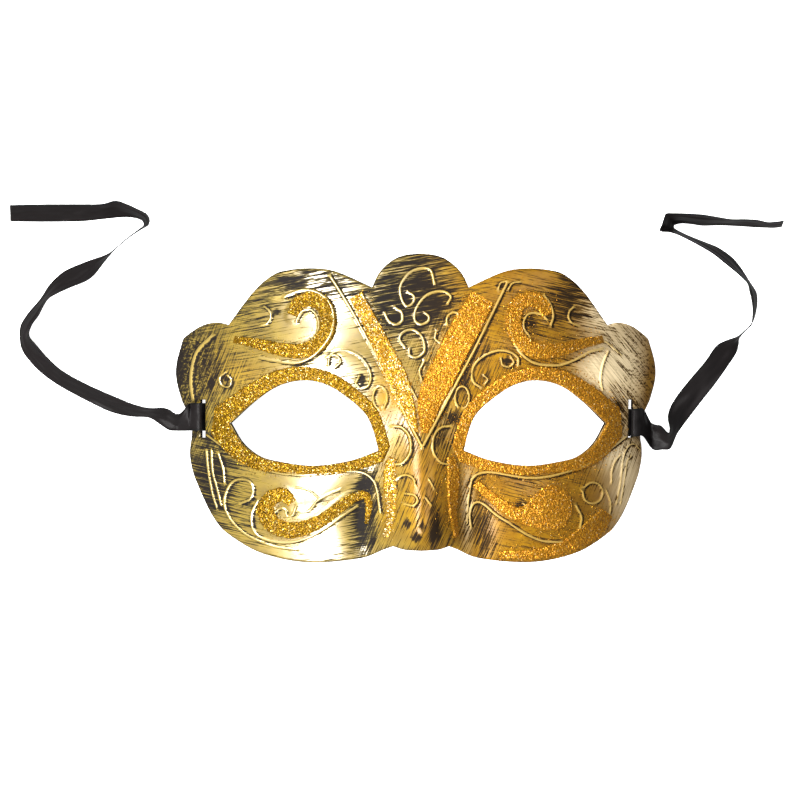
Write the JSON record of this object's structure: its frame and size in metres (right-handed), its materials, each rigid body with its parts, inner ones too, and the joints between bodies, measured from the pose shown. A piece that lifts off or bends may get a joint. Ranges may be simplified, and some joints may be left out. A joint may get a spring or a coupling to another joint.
{
  "type": "venetian masquerade mask",
  "caption": "Venetian half mask of moulded plastic in dry-brushed gold with scroll relief, gold glitter trims and two black satin tie ribbons, lying face up",
  "frame": {"origin": "middle of the mask's outline, on the surface that it lies on", "axes": "X across the face to the viewer's right, Y up the face to the forehead, Z out of the face"},
  "size_m": [0.28, 0.1305, 0.0622],
  "materials": {
    "gold_plastic": "black moulded plastic, dry-brushed with gold paint",
    "yellow_gold_glitter": "yellow-gold glitter in clear glue",
    "orange_gold_glitter": "orange-gold glitter in clear glue",
    "black_satin": "black satin ribbon"
  },
  "bodies": {
    "root": {"mask_shell": "gold_plastic", "eye_glitter_left": "yellow_gold_glitter", "eye_glitter_right": "orange_gold_glitter", "brow_glitter_left": "yellow_gold_glitter", "brow_glitter_right": "orange_gold_glitter", "forehead_glitter_left": "yellow_gold_glitter", "forehead_glitter_right": "orange_gold_glitter", "nose_glitter_left": "yellow_gold_glitter", "nose_glitter_right": "orange_gold_glitter", "cheek_glitter_left": "yellow_gold_glitter", "cheek_glitter_right": "orange_gold_glitter", "rim_glitter_right": "orange_gold_glitter", "ribbon_left": "black_satin", "ribbon_right": "black_satin", "ribbon_knot_left": "black_satin", "ribbon_knot_right": "black_satin"}
  },
  "joints": []
}
